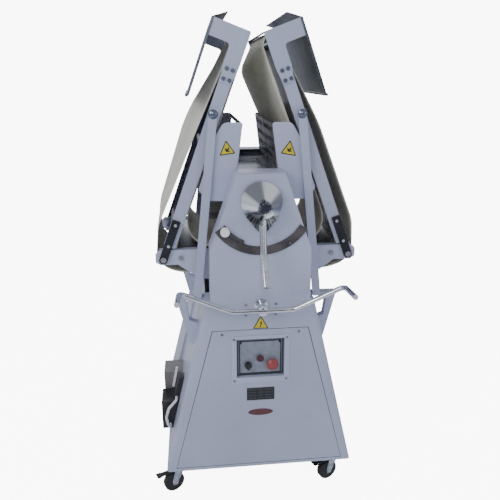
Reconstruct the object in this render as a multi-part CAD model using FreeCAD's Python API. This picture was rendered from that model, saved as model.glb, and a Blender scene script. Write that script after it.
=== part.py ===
"""Floor-standing reversible dough sheeter with two fold-up conveyor tables.

Millimetres, +Z up, X to the operator's right, +Y away from the operator.
The origin is on the floor, on the middle plane of the cabinet, half way between the
rear face and the handlebar grips.
Depths called d are measured from the front face of the body towards the rear.
"""
import FreeCAD, Part
import os
from math import atan2, cos, hypot, radians, sin, tan

V = FreeCAD.Vector
X_AXIS, Y_AXIS, Z_AXIS = V(1, 0, 0), V(0, 1, 0), V(0, 0, 1)

# ---------------------------------------------------------------- driving dimensions
BODY_DEPTH = 668.0          # front face to rear face of the casings
HANDLE_REACH = 158.0        # how far the handlebar grips stand in front of the body
SHEET = 2.0                 # painted sheet metal
FIT = 0.05                  # radial clearance of a running fit
GAP = 0.3                   # clearance between pieces of different bodies

BASE_BOTTOM = 116.0         # underside of the casings
BASE_TOP = 752.0            # top of the base casings
BASE_HALF = 330.0           # half width of the front casing at its underside
BASE_HALF_TOP = 177.0       # the same at its top
REAR_HALF = 344.0           # half width of the rear casing at its underside
REAR_HALF_TOP = 180.0
CASING_SEAM_D = 385.0       # depth of the seam between front and rear casing
BASE_CORNER_R = 13.0

DOOR_BOTTOM, DOOR_TOP = 130.0, 653.0
DOOR_HALF, DOOR_HALF_TOP = 294.0, 157.5
DOOR_GAP = 2.2
DOOR_RIM = 14.0             # width of the strip that the door closes on

HEAD_BOTTOM = BASE_TOP
HEAD_KNEE = 926.0
HEAD_TOP = 1166.0
HEAD_HALF = 162.0
HEAD_KNEE_HALF = 160.0
HEAD_TOP_HALF = 74.0
HEAD_COVER_DEPTH = 95.0
HEAD_BEVEL_D, HEAD_BEVEL_Z = 20.0, 17.0

PLATE_D, PLATE_T = 99.0, 10.0       # structural side plates of the head
PLATE_TOP = 1140.0
PLATE_BOTTOM = 700.0
PLATE_INSET = 4.0                   # side plate inside the cover's outline

PIVOT_X, PIVOT_Z = 308.5, 870.5     # table fold pivots
PIVOT_R = 7.0
FOLD_LEAN = 20.3                    # folded tables lean this far inwards past vertical
ARM_D, ARM_T, ARM_FLANGE = 109.0, 4.0, 26.0
ARM_TOP, ARM_BOTTOM, ARM_END_X = 901.0, 850.0, 335.0

LINK_D, LINK_T = 100.0, 8.0
LINK_HALF = 13.5
LINK_END_T = 139.0
RAIL_D, RAIL_W, RAIL_WALL = 108.0, 20.0, 2.0
RAIL_START, RAIL_END = 46.0, 700.0
RAIL_LOW, RAIL_HIGH = -14.0, 24.0
BED_T = 2.0
BELT_T = 2.5
RIGHT_SLACK = (68.0, 0.0)           # how far the upper and the lower run hang off the table
LEFT_SLACK = (4.0, 22.0)
BELT_EDGE_D = 140.0                 # depth where the belt's front edge runs
BRACKET_T = 3.0
BRACKET_FOOT, BRACKET_END = 590.0, 754.0
BRACKET_HIGH, BRACKET_LOW = 31.0, -91.0
BRACKET_LEG_LOW = -18.0
BRACKET_SHORT_LEG = 52.0
BRACKET_SCREW_R = 6.3
BRACKET_FACE = 1.0                  # metal left in front of the blind journal bore
NOSE_T, NOSE_H, NOSE_R = 728.0, 8.0, 18.0
NOSE_JOURNAL_R = 6.0
PAN_START, PAN_H, PAN_T = 518.0, -93.0, 1.5
PAN_LIP_T, PAN_LIP_H = 29.0, 41.0
PAN_HEM_R = 4.5
PAN_RIM = 8.0                       # turned-up edge at front and rear
CROSS_TUBE_R = 9.0
CROSS_TUBES_T = (70.0, 380.0, 660.0)

STRUT_T_POS, STRUT_H_POS = 493.6, 0.0
STRUT_D, STRUT_T, STRUT_HALF = 86.0, 8.0, 13.5
STRUT_FOOT_X, STRUT_FOOT_Z = 201.8, 742.0
STRUT_END = 14.0
STRUT_BOLT_R = 6.0
STRUT_DOME_R = 15.0
FOOT_PIN_R = 6.0
REST_OUT_X, REST_LOW_Z, REST_BAR, REST_ARM = 272.0, 568.0, 10.0, 31.0
REST_D, REST_DEEP = 98.0, 30.0

DRIVE_X, DRIVE_Z, DRIVE_R = 96.5, 868.5, 27.7
DRIVE_JOURNAL_R = 10.0
ROLLER_R = 42.0
ROLLER_JOURNAL_R = 12.5
LOWER_ROLLER_Z = 858.0
ROLLER_GAP = 20.0
ROLLER_END = 3.0                    # roller face to side plate
CARRIAGE_HALF, CARRIAGE_H = 30.0, 56.0
CARRIAGE_TRAVEL = 17.0

LEVER_Z = 1082.0
LEVER_HUB_R = 63.0
LEVER_NECK_R = 19.0
LEVER_HUB_D = (-4.0, -16.0, -86.0)  # back of rim, front of rim, front of neck
LEVER_SHAFT_R, LEVER_SLEEVE_R = 10.5, 12.5
LEVER_ROOT = (0.0, -40.0, 1030.0)   # x, d, z: the shaft leaves the hub, bends, ends
LEVER_BEND = (0.0, -60.0, 930.0)
LEVER_TIP = (0.0, -128.0, 850.0)
LEVER_THREAD_R, LEVER_THREAD_DEEP = 3.4, 25.0
GAP_SHAFT_R = 12.0
ARC_IN, ARC_OUT, ARC_T = 143.0, 170.0, 5.0
ARC_SLOT_FLOOR = 2.0                # metal left behind the slot
ARC_FROM, ARC_TO = 213.0, 328.0
STOP_ANGLE, STOP_RADIUS, STOP_KNOB_R = 218.5, 144.0, 14.0
STOP_TRAVEL = 20.0                  # degrees along the slot
STOP_LIFT = 4.0                     # the knob clears the screw heads on the arc by this much

BAR_R, BAR_D = 8.5, -50.0
BAR_Z, BAR_FLAT = 742.0, 97.0
BAR_END_X, BAR_END_Z = 258.0, 813.0
BAR_HUB_R, BAR_SHAFT_R = 17.0, 9.0

FRAME_HALF, FRAME_Z0, FRAME_Z1 = 97.0, 457.0, 632.0
WINDOW_HALF, WINDOW_Z0, WINDOW_Z1 = 80.0, 478.0, 620.0
PANEL_D, PANEL_T = 14.0, 2.0
SELECTOR = (-41.0, 522.0, 12.0)     # x, z, radius
START = (-1.0, 547.0, 13.0)
STOP = (40.0, 524.0, 20.0)
STEM_R = 8.0

GUARD_D, GUARD_T = 96.0, 2.0
GUARD_HINGE_X, GUARD_HINGE_Z, GUARD_PIN_R = 84.0, 1100.0, 6.0
GUARD_SHEET_T = 1.5

SPROCKET_R = 30.0                   # both chain sprockets
CHAIN_D, CHAIN_T = BODY_DEPTH - 78.0, 8.0
CHAIN_R = 37.0                      # outside of the chain round a sprocket
MOTOR_Z = 280.0
MOTOR_SHAFT_R = 12.0

WHEEL_R, WHEEL_W = 37.5, 24.0
CASTOR_X, CASTOR_D = 285.0, 62.0
CASTOR_TRAIL = 28.0
CASTOR_PLATE_T = 4.0
CASTOR_PLATE_X, CASTOR_PLATE_D = 38.0, 36.0     # half sizes of the plate
CASTOR_RACE, CROWN_T, CASTOR_PIN_R = 5.0, 8.0, 6.0
FLANGE_REACH = 55.0                 # casing flange under the frame ring
BRAKE_PIN = (22.0, 84.0, 2.5)       # x and z in the fork, radius
TUBE = 40.0
RING_D = 20.0                       # ring tube set in from front and rear face

# ---------------------------------------------------------------- worked out from them
FRONT_Y = -(BODY_DEPTH - HANDLE_REACH) / 2
MID_Y = FRONT_Y + BODY_DEPTH / 2
RING_Z = BASE_BOTTOM + CASTOR_PLATE_T
BED_TOP = RAIL_HIGH + BED_T
BELT_IN = BED_TOP + 0.5
BELT_OUT = BELT_IN + BELT_T
BELT_WIDTH = BODY_DEPTH - 2 * BELT_EDGE_D
UPPER_ROLLER_Z = LOWER_ROLLER_Z + 2 * ROLLER_R + ROLLER_GAP
FOLD_ANGLE = 90 + FOLD_LEAN


# ---------------------------------------------------------------- helpers
def at(x, d, z):
    """A point from its depth behind the front face."""
    return V(x, FRONT_Y + d, z)


def box(x0, x1, d0, d1, z0, z1):
    return Part.makeBox(x1 - x0, d1 - d0, z1 - z0, at(x0, d0, z0))


def rod(x, z, radius, d0, d1):
    """A cylinder along Y."""
    return Part.makeCylinder(radius, d1 - d0, at(x, d0, z), Y_AXIS)


def bar(start, end, radius):
    """A cylinder between two points."""
    line = end - start
    return Part.makeCylinder(radius, line.Length, start, line)


def rounded_wire(points, radii):
    """A closed wire in the XZ plane at y = 0 with an arc at each corner that has a radius."""
    corners = [V(x, 0, z) for x, z in points]
    edges, starts, ends = [], [], []
    for i, corner in enumerate(corners):
        before = (corners[i - 1] - corner).normalize()
        after = (corners[(i + 1) % len(corners)] - corner).normalize()
        radius = radii[i]
        if radius <= 0:
            starts.append(corner)
            ends.append(corner)
            continue
        half = before.getAngle(after) / 2
        reach = radius / tan(half)
        middle = (before + after).normalize()
        centre = corner + middle * (radius / sin(half))
        starts.append(corner + before * reach)
        ends.append(corner + after * reach)
        edges.append(Part.Arc(starts[-1], centre - middle * radius, ends[-1]).toShape())
    for i in range(len(corners)):
        a, b = ends[i - 1], starts[i]
        if (b - a).Length > 1e-6:
            edges.append(Part.LineSegment(a, b).toShape())
    return Part.Wire(Part.__sortEdges__(edges))


def prism(points, d0, d1, radii=0.0):
    """A solid from an outline of (x, z) points between two depths."""
    if not isinstance(radii, (list, tuple)):
        radii = [radii] * len(points)
    face = Part.Face(rounded_wire(points, radii))
    face.translate(V(0, FRONT_Y + d0, 0))
    return face.extrude(V(0, d1 - d0, 0))


def bent_rod(route, bends, radius):
    """A round rod along straight runs with an arc of the given bend radius at each corner."""
    edges, last = [], route[0]
    for i in range(1, len(route) - 1):
        before = (route[i - 1] - route[i]).normalize()
        after = (route[i + 1] - route[i]).normalize()
        half = before.getAngle(after) / 2
        reach = bends[i - 1] / tan(half)
        middle = (before + after).normalize()
        start, end = route[i] + before * reach, route[i] + after * reach
        mid = route[i] + middle * (bends[i - 1] / sin(half) - bends[i - 1])
        edges.append(Part.LineSegment(last, start).toShape())
        edges.append(Part.Arc(start, mid, end).toShape())
        last = end
    edges.append(Part.LineSegment(last, route[-1]).toShape())
    section = Part.Circle(route[0], (route[1] - route[0]).normalize(), radius).toShape()
    return Part.Wire(edges).makePipeShell([Part.Wire([section])], True, False)


def mirror_x(shape):
    return shape.mirror(V(0, 0, 0), X_AXIS)


def mirror_d(shape):
    """The same piece at the rear of the machine."""
    return shape.mirror(V(0, MID_Y, 0), Y_AXIS)


def both_ends(shape):
    return [shape, mirror_d(shape)]


def fold(shape):
    """Turn a piece drawn on the right table in its working place to the folded place."""
    turned = shape.copy()
    turned.rotate(V(PIVOT_X, 0, PIVOT_Z), Y_AXIS, -FOLD_ANGLE)
    return turned


def folded_point(t, h):
    """Where a point of the right table lies when folded, as (x, z)."""
    lean = radians(FOLD_LEAN)
    x = PIVOT_X - t * sin(lean) - h * cos(lean)
    z = PIVOT_Z + t * cos(lean) - h * sin(lean)
    return x, z


def table_prism(points, d0, d1, radii=0.0):
    """A prism from (t, h) points of the right table, in the folded place."""
    return fold(prism([(PIVOT_X + t, PIVOT_Z + h) for t, h in points], d0, d1, radii))


def table_rod(t, h, radius, d0, d1):
    return fold(rod(PIVOT_X + t, PIVOT_Z + h, radius, d0, d1))


def half_width(z, low, high):
    """Half width of a tapered casing at a height."""
    return low + (high - low) * (z - BASE_BOTTOM) / (BASE_TOP - BASE_BOTTOM)


def casing_half(z):
    return half_width(z, BASE_HALF, BASE_HALF_TOP)


def taper(low_half, high_half, z0, z1, inset=0.0):
    """Outline of a symmetric trapezium."""
    return [(-low_half + inset, z0), (low_half - inset, z0),
            (high_half - inset, z1), (-high_half + inset, z1)]


def compound(solids):
    return Part.makeCompound(list(solids))


NODES = {}


def keep(name, *solids):
    NODES[name] = solids[0] if len(solids) == 1 else compound(solids)


# ---------------------------------------------------------------- base
def floor_frame():
    """Welded ring, posts and top ring, with the four castor plates below."""
    ring_out = casing_half(RING_Z + TUBE) - SHEET - 4.0
    ring_d1 = BODY_DEPTH - RING_D
    low = box(-ring_out, ring_out, RING_D, ring_d1, RING_Z, RING_Z + TUBE)
    low = low.cut(box(-ring_out + TUBE, ring_out - TUBE, RING_D + TUBE, ring_d1 - TUBE,
                      RING_Z - 1, RING_Z + TUBE + 1))
    top_z0 = PLATE_BOTTOM - TUBE
    top_half = 140.0
    top = box(-top_half, top_half, PLATE_D, BODY_DEPTH - PLATE_D, top_z0, PLATE_BOTTOM)
    top = top.cut(box(-top_half + TUBE, top_half - TUBE, PLATE_D + TUBE,
                      BODY_DEPTH - PLATE_D - TUBE, top_z0 - 1, PLATE_BOTTOM + 1))
    frame = low.fuse(top)
    for side in (-1, 1):
        x0 = side * (top_half - TUBE / 2) - TUBE / 2
        for d0 in (PLATE_D, BODY_DEPTH - PLATE_D - TUBE):
            frame = frame.fuse(box(x0, x0 + TUBE, d0, d0 + TUBE, RING_Z + TUBE / 2, top_z0 + 1))
    for d0 in (PLATE_D, BODY_DEPTH - PLATE_D - TUBE):
        frame = frame.fuse(box(-ring_out + 1, ring_out - 1, d0, d0 + TUBE, RING_Z, RING_Z + TUBE))
    frame = frame.removeSplitter()
    solids = [frame]
    for x, d, _ in castor_places():
        plate = castor_plate(x, d)
        head_z = BASE_BOTTOM - CASTOR_RACE - CROWN_T - 2 * GAP - 3.0
        pin = Part.makeCylinder(CASTOR_PIN_R, BASE_BOTTOM - head_z + 1, at(x, d, head_z))
        race = Part.makeCylinder(22.0, CASTOR_RACE, at(x, d, BASE_BOTTOM - CASTOR_RACE))
        head = Part.makeCylinder(CASTOR_PIN_R + 3, 3.0, at(x, d, head_z))
        solids.append(plate.fuse([pin, race, head]).removeSplitter())
    keep("floor_frame", *solids)


def castor_plate(x, d, clearance=0.0):
    wide, deep = CASTOR_PLATE_X + clearance, CASTOR_PLATE_D + clearance
    return box(x - wide, x + wide, d - deep, d + deep, BASE_BOTTOM - clearance, RING_Z + clearance)


def bottom_flange(half, d0, d1, open0, open1):
    """Inward flange of a casing that the frame ring stands on, clear of the castor plates."""
    flange = box(-half, half, d0, d1, RING_Z - SHEET, RING_Z)
    inner = BASE_HALF - FLANGE_REACH
    flange = flange.cut(box(-inner, inner, open0, open1, RING_Z - SHEET - 1, RING_Z + 1))
    for x, d, _ in castor_places():
        flange = flange.cut(castor_plate(x, d, GAP))
    return flange


def castor_places():
    """Swivel axis x, depth and trail heading in degrees for each castor."""
    rear = BODY_DEPTH - CASTOR_D
    return [(-CASTOR_X, CASTOR_D, 205.0), (CASTOR_X, CASTOR_D, 202.0),
            (-CASTOR_X, rear, 160.0), (CASTOR_X, rear, 20.0)]


def front_casing():
    outer = prism(taper(BASE_HALF, BASE_HALF_TOP, BASE_BOTTOM, BASE_TOP), 0, CASING_SEAM_D - GAP)
    edges = [e for e in outer.Edges
             if abs(e.CenterOfMass.y - FRONT_Y) < 0.1 and abs(e.CenterOfMass.x) > 100
             and abs(e.BoundBox.ZLength) > 100]
    outer = outer.makeFillet(BASE_CORNER_R, edges)
    inner = prism(taper(BASE_HALF, BASE_HALF_TOP, BASE_BOTTOM - 1, BASE_TOP + 1, SHEET),
                  SHEET, CASING_SEAM_D)
    inner_edges = [e for e in inner.Edges
                   if abs(e.CenterOfMass.y - FRONT_Y - SHEET) < 0.1 and abs(e.CenterOfMass.x) > 100
                   and abs(e.BoundBox.ZLength) > 100]
    inner = inner.makeFillet(BASE_CORNER_R - SHEET, inner_edges)
    shell = outer.cut(inner)
    opening = prism(taper(DOOR_HALF + DOOR_GAP, DOOR_HALF_TOP + DOOR_GAP,
                          DOOR_BOTTOM - DOOR_GAP, DOOR_TOP + DOOR_GAP), -1, SHEET + 1)
    shell = shell.cut(opening)
    rim_out = prism(taper(DOOR_HALF + DOOR_GAP + 6, DOOR_HALF_TOP + DOOR_GAP + 6,
                          DOOR_BOTTOM - DOOR_GAP - 6, DOOR_TOP + DOOR_GAP + 6), SHEET, 2 * SHEET)
    rim_in = prism(taper(DOOR_HALF - DOOR_RIM, DOOR_HALF_TOP - DOOR_RIM,
                         DOOR_BOTTOM + DOOR_RIM, DOOR_TOP - DOOR_RIM), SHEET - 1, 2 * SHEET + 1)
    shell = shell.fuse(rim_out.cut(rim_in))
    top = box(-BASE_HALF_TOP + SHEET, BASE_HALF_TOP - SHEET, SHEET, PLATE_D,
              BASE_TOP - SHEET, BASE_TOP)
    flange = bottom_flange(casing_half(RING_Z) - SHEET + 0.5, SHEET / 2, CASING_SEAM_D - GAP,
                           FLANGE_REACH, CASING_SEAM_D)
    shell = shell.fuse([top, flange])
    shell = shell.cut(rod(0, BAR_Z, BAR_SHAFT_R + FIT, -5, 80))
    keep("front_casing", shell)


def rear_casing():
    outer = prism(taper(REAR_HALF, REAR_HALF_TOP, BASE_BOTTOM, BASE_TOP), CASING_SEAM_D, BODY_DEPTH)
    inner = prism(taper(REAR_HALF, REAR_HALF_TOP, BASE_BOTTOM - 1, BASE_TOP + 1, SHEET),
                  CASING_SEAM_D + SHEET, BODY_DEPTH - SHEET)
    mouth = prism(taper(BASE_HALF - 4, BASE_HALF_TOP - 4, BASE_BOTTOM - 1, BASE_TOP + 1),
                  CASING_SEAM_D - 1, CASING_SEAM_D + SHEET + 1)
    top = box(-BASE_HALF_TOP + SHEET, BASE_HALF_TOP - SHEET, BODY_DEPTH - PLATE_D,
              BODY_DEPTH - SHEET, BASE_TOP - SHEET, BASE_TOP)
    top = top.cut(box(-CHAIN_R - 12, CHAIN_R + 12, CHAIN_D - 8, CHAIN_D + CHAIN_T + 8,
                      BASE_TOP - SHEET - 1, BASE_TOP + 1))
    half = half_width(RING_Z, REAR_HALF, REAR_HALF_TOP) - SHEET + 0.5
    flange = bottom_flange(half, CASING_SEAM_D + SHEET / 2, BODY_DEPTH - SHEET / 2,
                           CASING_SEAM_D, BODY_DEPTH - FLANGE_REACH)
    keep("rear_casing", outer.cut(inner).cut(mouth).fuse([top, flange]))


def front_door():
    door = prism(taper(DOOR_HALF, DOOR_HALF_TOP, DOOR_BOTTOM, DOOR_TOP), 0, SHEET - GAP)
    door = door.cut(box(-WINDOW_HALF - 3, WINDOW_HALF + 3, -1, 5, WINDOW_Z0 - 3, WINDOW_Z1 + 3))
    keep("front_door", door)


def controls():
    plate = box(-FRAME_HALF, FRAME_HALF, -2.0, 0, FRAME_Z0, FRAME_Z1)
    walls = box(-WINDOW_HALF - SHEET, WINDOW_HALF + SHEET, 0, PANEL_D,
                WINDOW_Z0 - SHEET, WINDOW_Z1 + SHEET)
    frame = plate.fuse(walls)
    frame = frame.cut(box(-WINDOW_HALF, WINDOW_HALF, -3, PANEL_D + 1, WINDOW_Z0, WINDOW_Z1))
    keep("control_frame", frame.removeSplitter())
    panel = box(-WINDOW_HALF - SHEET, WINDOW_HALF + SHEET, PANEL_D, PANEL_D + PANEL_T,
                WINDOW_Z0 - SHEET, WINDOW_Z1 + SHEET)
    raised = box(-WINDOW_HALF + 9, WINDOW_HALF - 9, PANEL_D - 4, PANEL_D,
                 WINDOW_Z0 + 8, WINDOW_Z1 - 12)
    panel = panel.fuse(raised)
    for x, z, radius in (SELECTOR, START, STOP):
        bezel = rod(x, z, min(radius, 13.0) + 1.5, PANEL_D - 7, PANEL_D)
        panel = panel.fuse(bezel)
    for x, z, radius in (SELECTOR, START, STOP):
        panel = panel.cut(rod(x, z, STEM_R + FIT, PANEL_D - 12, PANEL_D + 5))
    keep("control_panel", panel)
    x, z, radius = SELECTOR
    face = PANEL_D - 7
    knob = rod(x, z, STEM_R, face - 4, PANEL_D + 4).fuse(rod(x, z, radius, face - 10, face - 1))
    grip = box(x - 3.5, x + 3.5, face - 20, face - 9, z - radius + 1, z + radius - 1)
    keep("selector_knob", knob.fuse(grip))
    x, z, radius = START
    cap = rod(x, z, radius - 1.0, face - 9, face - 5)
    keep("start_button", rod(x, z, STEM_R, face - 6, PANEL_D + 4).fuse(cap))
    x, z, radius = STOP
    head = Part.makeCone(radius - 7, radius, 7, at(x, face - 20, z), Y_AXIS)
    head = head.fuse(rod(x, z, radius, face - 13, face - 8))
    keep("stop_button", rod(x, z, STEM_R, face - 9, PANEL_D + 4).fuse(head))


def front_plates():
    rating = box(-48, 50, -1.0, 0, 375, 440)
    badge = Part.Ellipse(V(0, 0, 0), 44, 14).toShape()
    badge = Part.Face(Part.Wire([badge])).extrude(V(0, 0, 1.0))
    badge.rotate(V(0, 0, 0), X_AXIS, -90)
    badge.translate(at(1, -1.0, 340))
    label = prism([(-26, 657), (26, 657), (0, 703)], -0.6, 0, 3.0)
    keep("front_plates", rating, badge, label)


# ---------------------------------------------------------------- head
def head_outline(inset=0.0, bottom=HEAD_BOTTOM, top=HEAD_TOP):
    slope = (HEAD_KNEE_HALF - HEAD_TOP_HALF) / (HEAD_TOP - HEAD_KNEE)
    run = inset * hypot(1.0, slope)
    knee = HEAD_KNEE_HALF - inset
    high = HEAD_KNEE_HALF - slope * (top - HEAD_KNEE) - run
    right = [(HEAD_HALF - inset, bottom), (knee, HEAD_KNEE), (high, top)]
    return right + [(-x, z) for x, z in reversed(right)]


def head_cover():
    outer = prism(head_outline(), 0, HEAD_COVER_DEPTH)
    wedge_points = [(0.0, 0.0), (HEAD_BEVEL_D, 0.0), (0.0, -HEAD_BEVEL_Z)]
    wedge = Part.Face(Part.makePolygon([at(-200, d, HEAD_TOP + z) for d, z in
                                        wedge_points + wedge_points[:1]]))
    outer = outer.cut(wedge.extrude(V(400, 0, 0)))
    inner = prism(head_outline(SHEET, HEAD_BOTTOM - 1, HEAD_TOP - SHEET), SHEET,
                  HEAD_COVER_DEPTH + 1)
    wedge.translate(V(0, SHEET * 0.5, -SHEET * 1.4))
    inner = inner.cut(wedge.extrude(V(400, 0, 0)))
    return outer.cut(inner)


def head():
    front = head_cover().cut(rod(0, LEVER_Z, GAP_SHAFT_R + FIT, -5, 50))
    keep("head_front_cover", front)
    keep("head_rear_cover", mirror_d(head_cover()))
    plate = prism(head_outline(PLATE_INSET, PLATE_BOTTOM, PLATE_TOP), PLATE_D, PLATE_D + PLATE_T)
    ears = box(-150, 150, PLATE_D, PLATE_D + PLATE_T, PLATE_BOTTOM, PLATE_BOTTOM + 60)
    plate = plate.fuse(ears)
    holes = [rod(0, LOWER_ROLLER_Z, ROLLER_JOURNAL_R + FIT, 90, 130)]
    for side in (-1, 1):
        holes.append(rod(side * DRIVE_X, DRIVE_Z, DRIVE_JOURNAL_R + FIT, 90, 130))
        holes.append(rod(side * GUARD_HINGE_X, GUARD_HINGE_Z, GUARD_PIN_R, 90, 130))
    half = CARRIAGE_HALF + GAP
    reach = CARRIAGE_H / 2 + CARRIAGE_TRAVEL + 2
    holes.append(box(-half, half, 90, 130, UPPER_ROLLER_Z - reach, UPPER_ROLLER_Z + reach))
    holes.append(rod(0, LEVER_Z, GAP_SHAFT_R + FIT, 90, 130))
    for hole in holes:
        plate = plate.cut(hole)
    solids = both_ends(plate)
    for side in (-1, 1):
        pin = rod(side * GUARD_HINGE_X, GUARD_HINGE_Z, GUARD_PIN_R, GUARD_D - 0.8, PLATE_D + PLATE_T)
        solids += both_ends(pin)
    keep("side_plates", *solids)
    inner = PLATE_D + PLATE_T
    tray = box(-58, 58, inner, BODY_DEPTH - inner, 1118, 1122)
    tray = tray.fuse(box(-58, -54, inner, BODY_DEPTH - inner, 1118, 1134))
    tray = tray.fuse(box(54, 58, inner, BODY_DEPTH - inner, 1118, 1134))
    solids = [tray]
    for side in (-1, 1):
        blade = prism([(side * 30, 816), (side * 33, 816), (side * 60, 786), (side * 57, 786)],
                      inner, BODY_DEPTH - inner)
        solids.append(blade)
    keep("top_tray_and_scrapers", *solids)


def rollers():
    inner = PLATE_D + PLATE_T
    face0, face1 = inner + ROLLER_END, BODY_DEPTH - inner - ROLLER_END
    block_half = CARRIAGE_H / 2
    block = box(-CARRIAGE_HALF, CARRIAGE_HALF, PLATE_D, inner, UPPER_ROLLER_Z - block_half,
                UPPER_ROLLER_Z + block_half)
    block = block.cut(rod(0, UPPER_ROLLER_Z, ROLLER_JOURNAL_R + FIT, 90, 130))
    keep("upper_carriage", *both_ends(block))
    roll = rod(0, UPPER_ROLLER_Z, ROLLER_R, face0, face1)
    journals = rod(0, UPPER_ROLLER_Z, ROLLER_JOURNAL_R, PLATE_D - 2, BODY_DEPTH - PLATE_D + 2)
    keep("upper_roller", roll.fuse(journals))
    roll = rod(0, LOWER_ROLLER_Z, ROLLER_R, face0, face1)
    journals = rod(0, LOWER_ROLLER_Z, ROLLER_JOURNAL_R, PLATE_D - 2, BODY_DEPTH - PLATE_D + 40)
    gear = rod(0, LOWER_ROLLER_Z, SPROCKET_R, CHAIN_D, CHAIN_D + CHAIN_T)
    keep("lower_roller", roll.fuse([journals, gear]))
    roll = rod(DRIVE_X, DRIVE_Z, DRIVE_R, face0, face1)
    journals = rod(DRIVE_X, DRIVE_Z, DRIVE_JOURNAL_R, PLATE_D - 2, BODY_DEPTH - PLATE_D + 2)
    drive = roll.fuse(journals)
    keep("right_drive_roller", drive)
    keep("left_drive_roller", mirror_x(drive))


def pivot_arms():
    points = [(120, ARM_TOP), (322, ARM_TOP), (ARM_END_X, ARM_TOP - 13), (ARM_END_X, 860),
              (320, ARM_BOTTOM), (262, ARM_BOTTOM), (216, 816), (190, 800), (120, 790)]
    arm = prism(points, ARM_D, ARM_D + ARM_T)
    flange = box(166, 322, ARM_D, ARM_D + ARM_FLANGE, ARM_TOP - ARM_T, ARM_TOP)
    lower = box(262, 320, ARM_D, ARM_D + ARM_FLANGE, ARM_BOTTOM, ARM_BOTTOM + ARM_T)
    arm = arm.fuse([flange, lower]).cut(rod(PIVOT_X, PIVOT_Z, PIVOT_R, 90, 150))
    arm = arm.cut(rod(DRIVE_X, DRIVE_Z, DRIVE_R + 4, 90, 150))
    pin = rod(PIVOT_X, PIVOT_Z, PIVOT_R, LINK_D - GAP, ARM_D + 18)
    pin = pin.fuse(rod(PIVOT_X, PIVOT_Z, PIVOT_R + 2.5, LINK_D - 4, LINK_D - GAP))
    bolt_head = prism(hexagon(252, 874, 8.0), ARM_D - 6, ARM_D)
    solids = []
    for piece in (arm.removeSplitter(), pin, bolt_head):
        for end in both_ends(piece):
            solids += [end, mirror_x(end)]
    keep("pivot_arms", *solids)
    inner = ARM_D + ARM_T
    bed = box(130, 288, inner, BODY_DEPTH - inner, 892.7, 896.2)
    rib = box(150, 154, inner, BODY_DEPTH - inner, 862, 892.7)
    bed = bed.fuse(rib)
    for flange_part in (flange, mirror_d(flange)):
        bed = bed.cut(flange_part)
    keep("fixed_beds", bed, mirror_x(bed))


def hexagon(x, z, radius):
    return [(x + radius * cos(radians(60 * i)), z + radius * sin(radians(60 * i)))
            for i in range(6)]


def strut_rests():
    top = STRUT_FOOT_Z - FOOT_PIN_R - GAP
    at_top, low_x = casing_half(top), casing_half(REST_LOW_Z)
    outer = [(at_top - 20, top), (REST_OUT_X, top), (REST_OUT_X, top - REST_BAR),
             (low_x + 13, REST_LOW_Z + 4), (low_x + 4, REST_LOW_Z - 6),
             (low_x - 20, REST_LOW_Z - 6)]
    rest = prism(outer, REST_D, REST_D + REST_DEEP, [0, 4, 4, 6, 0, 0])
    hole = [(at_top - 10, top - REST_BAR), (REST_OUT_X - REST_ARM, top - REST_BAR),
            (low_x + 11, REST_LOW_Z + 84), (low_x - 20, REST_LOW_Z + 70)]
    rest = rest.cut(prism(hole, REST_D - 1, REST_D + REST_DEEP + 1))
    front_side = prism(taper(BASE_HALF, BASE_HALF_TOP, BASE_BOTTOM, BASE_TOP), 0, BODY_DEPTH)
    rear_side = prism(taper(REAR_HALF, REAR_HALF_TOP, BASE_BOTTOM, BASE_TOP), 0, BODY_DEPTH)
    front = rest.cut(front_side)
    rear = mirror_d(rest).cut(rear_side)
    keep("strut_rests", front, mirror_x(front), rear, mirror_x(rear))


# ---------------------------------------------------------------- lever, scale and handlebar
def gap_lever():
    back, rim, neck = LEVER_HUB_D
    profile = [(0, back), (LEVER_HUB_R, back), (LEVER_HUB_R, rim), (LEVER_NECK_R + 3, neck + 12),
               (LEVER_NECK_R, neck), (0, neck)]
    wire = Part.makePolygon([at(r, d, LEVER_Z) for r, d in profile + profile[:1]])
    cone = Part.Face(wire).revolve(at(0, 0, LEVER_Z), Y_AXIS, 360)
    drop = prism([(-52, LEVER_Z - 36), (52, LEVER_Z - 36), (13, LEVER_Z - 86), (-13, LEVER_Z - 86)],
                 rim - 22, back - 2, [2, 2, 8, 8])
    root, bend, tip = at(*LEVER_ROOT), at(*LEVER_BEND), at(*LEVER_TIP)
    shaft = bar(root, bend, LEVER_SHAFT_R).fuse(Part.makeSphere(LEVER_SHAFT_R, bend))
    lever = cone.fuse([drop, shaft])
    cap = rod(0, LEVER_Z, 12.5, neck - 7, neck)
    keep("gap_lever", lever, cap, rod(0, LEVER_Z, GAP_SHAFT_R, back, BODY_DEPTH - PLATE_D + 2))
    along = (tip - bend).normalize()
    thread = bar(tip - along * LEVER_THREAD_DEEP, tip + along * 5, LEVER_THREAD_R)
    keep("lever_grip", bar(bend + along * 2, tip, LEVER_SLEEVE_R).cut(shaft).cut(thread))


def arc_sector(inner, outer, start, end, d0, d1):
    a0, a1, mid = radians(start), radians(end), radians((start + end) / 2)

    def on(radius, angle):
        return at(radius * cos(angle), d0, LEVER_Z + radius * sin(angle))
    edges = [Part.Arc(on(outer, a0), on(outer, mid), on(outer, a1)).toShape(),
             Part.LineSegment(on(outer, a1), on(inner, a1)).toShape(),
             Part.Arc(on(inner, a1), on(inner, mid), on(inner, a0)).toShape(),
             Part.LineSegment(on(inner, a0), on(outer, a0)).toShape()]
    return Part.Face(Part.Wire(edges)).extrude(V(0, d1 - d0, 0))


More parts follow.
